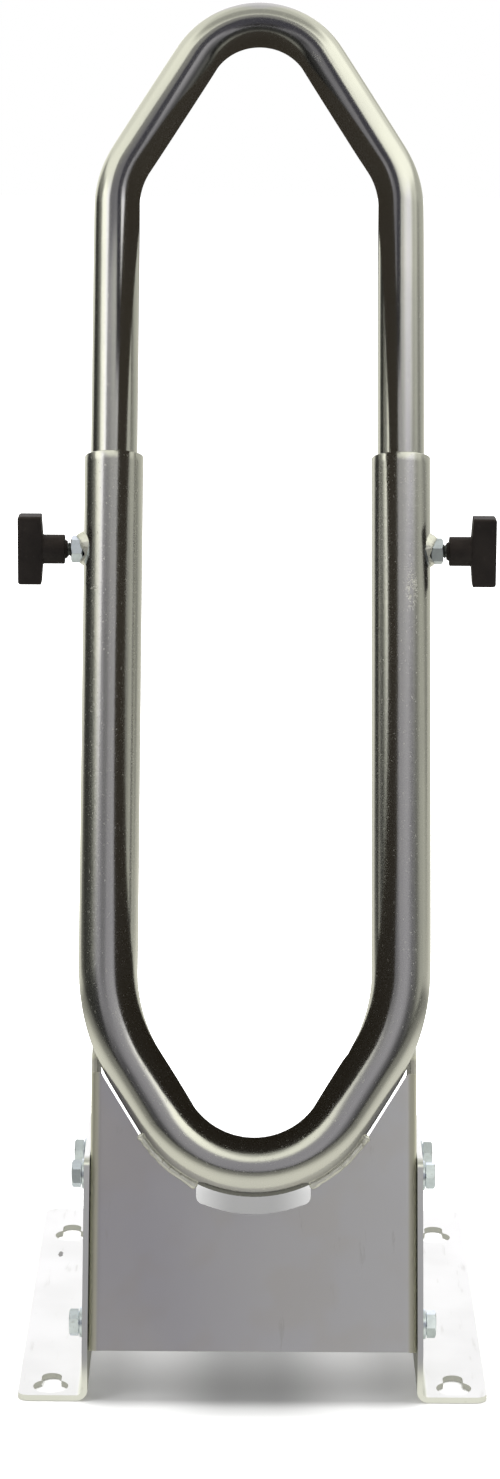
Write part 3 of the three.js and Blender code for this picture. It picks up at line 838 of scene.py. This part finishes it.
# The clamp screw is M8 steel stud, threaded for its whole length, moulded into its plastic knob.
# Its flat tip presses the upper tube, and it moves in or out as the knob is turned.
thread_pitch, rows_per_turn = 1.25, 8
crest, root = 3.9, 3.25
screw_columns = 48
screw_turn = full_turn(screw_columns)
stud_tip, neck_end, moulded_in = 13.0, 26.2, 15.0
stud_end = neck_end + moulded_in


def thread_rows(first, last):
    """Rows along a screw: the radius falls in a V from the crest as the helix passes, and the
    thread fades out at both ends."""
    rows = []
    for height in np.arange(first, last, thread_pitch / rows_per_turn):
        phase = np.mod(height / thread_pitch - screw_turn / (2 * np.pi), 1.0)
        depth = np.clip(1.15 - 2.3 * np.abs(phase - 0.5), 0, 1)
        fade = np.clip(min(height - first, last - height) / 0.8, 0, 1)
        rows.append((crest - (crest - root) * depth * fade, height))
    return rows


for side_name, side in SIDES.items():
    rows = [(0.0, stud_tip), (2.9, stud_tip), (3.4, stud_tip + 0.6)]
    rows += thread_rows(stud_tip + 0.7, stud_end) + [(0.0, stud_end)]
    shape = across_leg(rings(screw_turn, rows).reshape(-1, 3), side), grid_faces(len(rows), screw_columns)
    # Painted shade: the exposed screw gets a dark grey base colour that stands in for the shade and dark
    # reflection of the black knob beside it.
    painted_shade_stud_finish = blue_zinc(f"painted_shade_zinc_screw_{side_name}", 0.08, (0.30, 0.31, 0.30))
    stud = mesh_piece(f"clamp_screw_{side_name}", shape, painted_shade_stud_finish, 40)
    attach(stud, f"{side_name}_stud")
    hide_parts(f"clamp_stud_{side_name}")

# The T knob is one moulding of black plastic: a round neck and a cross bar with its long axis upright.
# The bar's inner faces are drafted for the mould, its outer edges are rounded, and a small cone
# ends the neck round the stud.
bar_half, bar_deep, bar_thick, bar_round = 18.75, 7.5, 13.0, 1.6
neck_radius, neck_length = 8.0, 12.5
bar_inner = neck_end + neck_length
bar_outer = bar_inner + bar_thick


def bar_outline(inset):
    """A rounded rectangle drawn with the same number of points whatever its inset."""
    corner = max(bar_round - inset, 0.05)
    centre = np.array([bar_half - inset - corner, bar_deep - inset - corner])
    signs = [(1, 1), (-1, 1), (-1, -1), (1, -1)]
    pieces = []
    for index, sign in enumerate(signs):
        pieces.append(arc_points(centre * sign, corner, 90 * index, 90 * index + 90, 7))
        following = centre * signs[(index + 1) % 4]
        start = pieces[-1][-1]
        end = arc_points(following, corner, 90 * index + 90, 90 * index + 90, 1)[0]
        share = np.linspace(0, 1, 14 if index % 2 else 42)[1:-1, None]
        pieces.append(start + share * (end - start))
    return np.vstack(pieces)


def knob_shell():
    """Rings from the bore's blind end, out over the cone and the neck, along the bar's drafted inner
    faces, over its sides and rounded outer edge, to the middle of its outer face."""
    plain = bar_outline(0.0)
    polar = np.arctan2(plain[:, 1], plain[:, 0])
    circle = np.stack([np.cos(polar), np.sin(polar)], 1)
    rows = []

    def ring(flat, height):
        rows.append(np.column_stack([flat, np.broadcast_to(height, len(flat))]))

    for radius, height in (
            (0.0, stud_end + 0.3), (4.2, stud_end + 0.3), (4.2, neck_end - 1.4), (4.6, neck_end - 1.5),
            (5.2, neck_end - 0.1), (neck_radius - 0.5, neck_end), (neck_radius - 0.15, neck_end + 0.15),
            (neck_radius, neck_end + 0.5), (neck_radius, bar_inner - 1.0)):
        ring(circle * radius, height)

    def inner(flat):
        away = np.clip((np.hypot(flat[:, 0], flat[:, 1]) - neck_radius) / (bar_half - neck_radius), 0, 1)
        return bar_inner - 0.6 + 0.9 * away

    for share in (0.06, 0.35, 0.7):
        flat = circle * neck_radius * (1 - share) + bar_outline(0.35) * share
        ring(flat, inner(flat))
    for inset, rise in ((0.35, 0.0), (0.1, 0.1), (0.0, 0.35)):
        flat = bar_outline(inset)
        ring(flat, inner(flat) + rise)
    for angle in np.radians(np.linspace(0, 90, 7)):
        ring(bar_outline(bar_round * (1 - math.cos(angle))), bar_outer - bar_round * (1 - math.sin(angle)))
    ring(bar_outline(bar_round) * 0.5, bar_outer)
    ring(circle * 0.0, bar_outer)
    return np.vstack(rows), grid_faces(len(rows), len(plain))


def black_plastic():
    """Moulded black plastic: a spark-eroded grain, faint warm haze, and edges rubbed a little."""
    material, shader, place = new_finish("black_plastic")
    grain = place.noise(1500, 3)
    haze = place.noise(55, 3)
    rub = place.noise(320, 4).step(0.60, 0.75)
    tint = haze.step(0.3, 0.7).colours((0.0085, 0.0062, 0.0052), (0.0145, 0.0108, 0.0086))
    tint = (rub * 0.3).colours(tint, (0.032, 0.026, 0.022))
    feed(shader, Base_Color=tint, Roughness=0.50 + 0.12 * grain, Specular_IOR_Level=0.22,
         Normal=relief(grain, 0.05))
    return material


plastic = black_plastic()
_, clamp_y, clamp_z = lean_to_part(np.array([[0.0, tube_plane, clamp_up]]))[0]
for side_name, side in SIDES.items():
    local, faces = knob_shell()
    upright = np.stack([side * (leg_out + local[:, 2]), clamp_y + local[:, 1], clamp_z + local[:, 0]], 1)
    handle = mesh_piece(f"t_knob_{side_name}", (upright, faces), plastic, 40)
    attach(handle, f"{side_name}_handle")
    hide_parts(f"knob_{side_name}")

# Six M8 hex bolts with washers hold the channel's flanges between the feet, with a nut on each
# inside the channel. They are cold-headed and blue-white zinc plated.
head_turns = {
    "left_low": 2, "left_high_front": 5, "left_high_rear": -4,
    "right_low": 27, "right_high_front": 22, "right_high_rear": 8,
}
washer_base, washer_thick = 90.45, 1.6
head_base, head_height, bolt_length = 92.35, 5.3, 20.0
nut_inner, nut_outer = 77.05, 83.55


def hex_bolt():
    """From the middle of the head, over its chamfer and six flats, under it to the shank, and along
    the thread to the point."""
    face, bearing, bearing_height, fillet = 6.0, 5.9, 0.35, 4.3
    rim = hex_rim(screw_turn, hex_flats)
    drop = chamfer_drop(rim, face)
    top, point = head_base + head_height, head_base - bolt_length
    under = head_base + bearing_height
    rows = [(0.0, top), (face / 2, top), (face, top), (rim, top - drop), (rim, under),
            (bearing, under), (bearing, head_base), (fillet, head_base), (crest, head_base - 0.4)]
    rows += thread_rows(point + 1.0, head_base - 1.2)[::-1] + [(3.1, point), (0.0, point)]
    return rings(screw_turn, rows).reshape(-1, 3), grid_faces(len(rows), screw_columns)


def washer_ring():
    """A punched ring: bore, flat faces and outer edge, with the edges rounded by the punch."""
    inner, outer, low, high = 4.5, 8.0, washer_base, washer_base + washer_thick
    rows = [(inner, low + 0.25), (inner + 0.2, low), (outer - 0.25, low), (outer - 0.07, low + 0.08),
            (outer, low + 0.3), (outer, high - 0.3), (outer - 0.07, high - 0.08), (outer - 0.25, high),
            (inner + 0.2, high), (inner, high - 0.25)]
    return rings(screw_turn, rows).reshape(-1, 3), loop_faces(len(rows), screw_columns)


def across_stand(local, side, back, up, turned):
    """Lays a shape drawn along its own axis across the stand at a bolt's place."""
    x, y, out = turned_shape(local, turned)
    return np.stack([side * out, back + y, up - side * x], 1)


for side_name, side in SIDES.items():
    for spot, (back, up) in bolt_places.items():
        tag = f"{side_name}_{spot}"
        turned = head_turns[tag]
        parts = {
            "hex_bolt": (hex_bolt(), turned, "bolt", 28),
            "flat_washer": (washer_ring(), 0, "washer", 40),
            "hex_nut": (hex_nut(nut_inner, nut_outer), turned + 17, "nut", 25),
        }
        for kind, ((places, faces), turning, node, smooth_below) in parts.items():
            laid = across_stand(places, side, back, up, turning)
            fastener = mesh_piece(f"{kind}_{tag}", (laid, faces), screw_finish, smooth_below)
            if kind == "hex_nut":
                break_edges(fastener, 0.15, 25)
            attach(fastener, "base_frame")
            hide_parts(f"{node}_{tag}")

# The studio: a pale floor that keeps a soft shadow and carries a painted shadow between the feet, a white
# surround, and soft lamps above.
# What the bright metal mirrors is a studio's own: a strip light on the left, a warmer box on the
# right, a wide box overhead, and black and grey cards that are out of the camera's sight.
black, white = (0.0, 0.0, 0.0), (1.0, 1.0, 1.0)


def stage_mesh(name, places, faces):
    """A mesh of places in mm that dresses the studio and isn't part of the stand."""
    material, shader, place = new_finish(name)
    stand_in = new_piece(name, places, faces, material)
    return stand_in, shader, place


def floor_plane():
    """A square of floor far wider than the stand. To the camera it turns evenly white away from the
    stand, and in the metal it shows as a board whose front edge lies a little before the feet."""
    half = 8000.0
    places = [(-half, -half, -0.4), (half, -half, -0.4), (half, half, -0.4), (-half, half, -0.4)]
    _, shader, place = stage_mesh("studio_floor", places, [(0, 1, 2, 3)])
    x, y, _ = place.parts()
    glossy = place.node("LightPath", {}, out="Is Glossy Ray")
    away = (x ** 2 + y ** 2) ** 0.5
    white_glow = (0.03 + 0.97 * away.step(0.26, 0.7)).most(y.step(0.38, 0.52))
    aside = x.size()
    # Painted shadow: the floor's base colour darkens between the feet, most in the middle, from just before
    # the feet to a little behind them.
    under = y.step(-0.190, -0.145) * (1 - y.step(0.19, 0.29))
    deep = 0.10 * y.step(-0.05, 0.12) * (1 - aside.step(0.035, 0.090))
    painted_shadow = under * (0.34 * (1 - aside.step(0.070, 0.105)) + 0.34 * (1 - aside.step(0.010, 0.058)) + deep)
    near = ((x / 1.5) ** 2 + y ** 2) ** 0.5
    # Painted shade in the mirrored board: it is darker between and under the feet, where the metal's
    # reflections of the floor would be in shade.
    between = (1 - aside.step(0.084, 0.092)) * y.step(-0.155, -0.135)
    below_foot_shade = (1 - aside.step(0.122, 0.132)) * y.step(-0.155, -0.135)
    mirrored = 0.80 - 0.55 * near.step(0.25, 0.62) - 0.15 * aside.step(1.0, 3.0)
    mirrored = mirrored.most(0.8 * y.step(0.25, 0.7)) * (1 - 0.32 * between - 0.46 * below_foot_shade)
    turned = y.math("ARCTAN2", x, 0 - y) * (180 / math.pi)
    mirrored = mirrored * (1 - 0.92 * (0 - y).step(0.9, 1.5))
    far = away.step(0.8, 2.2)
    mirrored = mirrored * (1 - far * (0.85 * turned.within(-130, -60, 7) + 0.32 * turned.within(60, 150, 12)))
    glow = white_glow.colours(black, white)
    glow = glossy.colours(glow, mirrored.colours(black, (1.02, 1.01, 0.88)))
    lit = painted_shadow.colours((0.86, 0.86, 0.855), black)
    feed(shader, Base_Color=glossy.colours(lit, black), Roughness=1.0, Specular_IOR_Level=0.0,
         Emission_Color=glow, Emission_Strength=1.0)


def dark_card(name, places, faces, rise, tone):
    """A card that only the mirror reflections see. Its tone changes from the first colour to the second
    as the height rises between two values in metres."""
    card, shader, place = stage_mesh(name, places, faces)
    _, _, height = place.parts()
    feed(shader, Base_Color=black, Roughness=1.0, Specular_IOR_Level=0.0,
         Emission_Color=height.step(*rise).colours(*tone), Emission_Strength=1.0)
    card.visible_camera = False
    card.visible_diffuse = False
    card.visible_shadow = False
    return shader, place


def card_ring():
    """A black ring between the legs: at each angle round its hub the section is a rounded oblong
    about 90 mm wide, from 252 mm out to 341 mm. Its upper front is clear from inside, so a lowered
    hoop that stands within it isn't blackened."""
    rows, columns = 240, 32
    hub_back, hub_up, middle, half_deep, half_wide = 160, 341, 297, 44, 45
    around = full_turn(rows)[:, None]
    turn = np.linspace(2 * np.pi, 0, columns, endpoint=False)[None]
    across = half_wide * np.sign(np.cos(turn)) * np.abs(np.cos(turn)) ** 0.6 + 0 * around
    reach = middle + half_deep * np.sign(np.sin(turn)) * np.abs(np.sin(turn)) ** 0.75 + 0 * around
    places = np.stack([across, hub_back + reach * np.sin(around), hub_up + reach * np.cos(around)], -1)
    shader, place = dark_card("dark_ring", places.reshape(-1, 3), loop_faces(rows, columns), (0.1, 0.45),
                              ((0.012, 0.009, 0.005), (0.034, 0.028, 0.020)))
    _, y, height = place.parts()
    inside = place.node("NewGeometry", {}, out="Backfacing")
    upper_front = height.step(0.45, 0.50) * (1 - y.step(0.09, 0.12))
    seen = place.node("MixShader", {0: inside * upper_front, 1: Tone(place.tree, shader.outputs[0]),
                                    2: place.node("BsdfTransparent", {})})
    put(place.tree.nodes["Material Output"].inputs["Surface"], seen)


def cards_above():
    """Two flags hung in front of the top of the stand: a tall narrow black one, and a wide grey one
    just beyond it."""
    places = [(-56, -186, 690), (56, -186, 690), (62, -186, 960), (-62, -186, 960)]
    dark_card("black_flag", places, [(0, 1, 2, 3)], (0.70, 0.80),
              ((0.012, 0.010, 0.008), (0.050, 0.048, 0.062)))
    places = [(-300, -190, 800), (45, -190, 795), (60, -190, 980), (165, -190, 1050), (180, -190, 1150),
              (-200, -190, 1140), (-360, -190, 1080)]
    dark_card("grey_flag", places, [list(range(7))], (0.85, 1.0),
              ((0.19, 0.185, 0.20), (0.27, 0.265, 0.25)))


def studio_surround():
    """The world: plain white to the camera, an even pale fill for diffuse light, and for mirror
    reflections a room worked out from the compass angle and the height of the ray."""
    world = bpy.data.worlds.new("studio")
    bpy.context.scene.world = world
    world.use_nodes = True
    tree = world.node_tree
    x, y, z = Tone(tree).node("TexCoord", {}, out=0).parts()
    compass = y.math("ARCTAN2", x, 0 - y) * (180 / math.pi)
    height = z.math("ARCSINE", z) * (180 / math.pi)
    off_front = compass.size()

    below = 1 - height.step(4, 22)
    dip = compass.within(-36, -12, 6) * 0.11 * (0.6 + height.within(24, 33, 2))
    grey = 0.34 - dip + 0.04 * compass.step(2, 12) - 0.22 * below * off_front.step(10, 30)
    grey = grey * (1 - 0.75 * compass.step(22, 52)) * compass.within(-46, 60, 5)
    left_edge = 18.2 + 0.0036 * (compass + 88) ** 2
    over_left = height - left_edge
    left_strip = compass.within(-88, -47.5, 3.5) * over_left.step(-1.0, 1.8) * 1.5
    left_low = compass.within(-92, -46, 5) * (0.026 + 0.32 * over_left.step(-5.0, 1.0))
    left_dark = compass.within(-136, -88, 4) * (0.03 + 0.25 * height.step(8, 18.5))
    right_level = (0.075 + 0.38 * compass.step(58, 86)) * compass.within(50, 94, 6)
    over_right = height + 0.27 * (compass - 40) - 31
    right_fall = 1.08 - 0.75 * compass.step(52, 78)
    right_bright = compass.within(12, 96, 8) * over_right.step(-3.0, 3.0) * right_fall
    notch = 1 - (compass + 1.4 * height - 117).size().step(1.0, 8.0)
    right_side = compass.within(94, 142, 5) * 0.52 * (1 - 0.66 * notch)
    back_right = compass.step(134, 150) * (0.62 + 0.33 * compass.step(155, 170))
    back = (0 - compass).step(124, 144) * 0.95 + back_right
    back = back * (1 + 0.56 * off_front.step(158, 175)) * (1 - 0.12 * height.step(8, 34))
    room = grey + left_strip.most(left_low) + left_dark + right_level + right_bright + right_side + back
    behind = off_front.step(100, 125)
    high_level = (1.05 + 0.3 * compass.step(-20, 60)) * (1 - behind) + 0.88 * behind
    edge = 39.2 - 0.08 * off_front - 4 * off_front.step(85, 100)
    high = (height - edge).step(-3.5, 3.5)
    room = room * (1 - high) + high_level * high
    zenith = height.step(52, 66)
    room = room * (1 - zenith) + (0.40 + 0.30 * off_front.step(70, 120)) * zenith
    aside = off_front.step(40, 75).most(height.step(34, 40))
    warmth = aside * (1 - 0.8 * off_front.step(158, 172))
    tint = warmth.colours((0.98, 0.955, 1.03), (1.0, 1.0, 0.87))
    mirror = tint.node("VectorMath", {0: tint, "Scale": room}, operation="SCALE")
    fill = room.node("LightPath", {}, out="Is Glossy Ray").colours((0.62, 0.62, 0.62), mirror)
    shown = room.node("LightPath", {}, out="Is Camera Ray").colours(fill, white)
    put(tree.nodes["Background"].inputs["Color"], shown)


def soft_lamp(name, place, aim, width, height, power):
    """A rectangular area lamp that lights the floor and the plastic but isn't mirrored."""
    lamp = bpy.data.lights.new(name, "AREA")
    lamp.shape = "RECTANGLE"
    lamp.size = width
    lamp.size_y = height
    lamp.energy = power
    holder = add_object(name, lamp)
    holder.location = place
    direction = Vector(aim) - Vector(place)
    holder.rotation_euler = direction.to_track_quat("-Z", "Y").to_euler()
    holder.visible_camera = False
    holder.visible_glossy = False


floor_plane()
card_ring()
cards_above()
studio_surround()
soft_lamp("overhead_lamp", (0.0, 0.5, 2.5), (0.0, 0.0, 0.1), 2.4, 2.0, 105)
soft_lamp("left_lamp", (-1.7, -1.1, 1.6), (0.0, 0.0, 0.35), 0.6, 1.6, 12)

# The camera stands in front of the stand, a little above its top and looking down, with a long lens.
# Its focal length is given in pixels of the frame, whose longer side is the upright one.
focal_length, frame_height = 4030.0, 1479.0
pitch_down, yaw, roll = math.radians(12.1), math.radians(0.028), math.radians(0.334)
lens_camera = bpy.data.cameras.new("camera")
lens_camera.sensor_width = 36.0
lens_camera.lens = focal_length / frame_height * lens_camera.sensor_width
camera = add_object("camera", lens_camera)
camera.location = (-0.0022, -2.1625, 0.789)
aim = Euler((math.pi / 2 - pitch_down, 0, yaw), "XYZ").to_matrix()
camera.rotation_euler = (aim @ Matrix.Rotation(roll, 3, "Z")).to_euler()
bpy.context.scene.camera = camera

# Straight colours.
bpy.context.scene.view_settings.view_transform = "Standard"
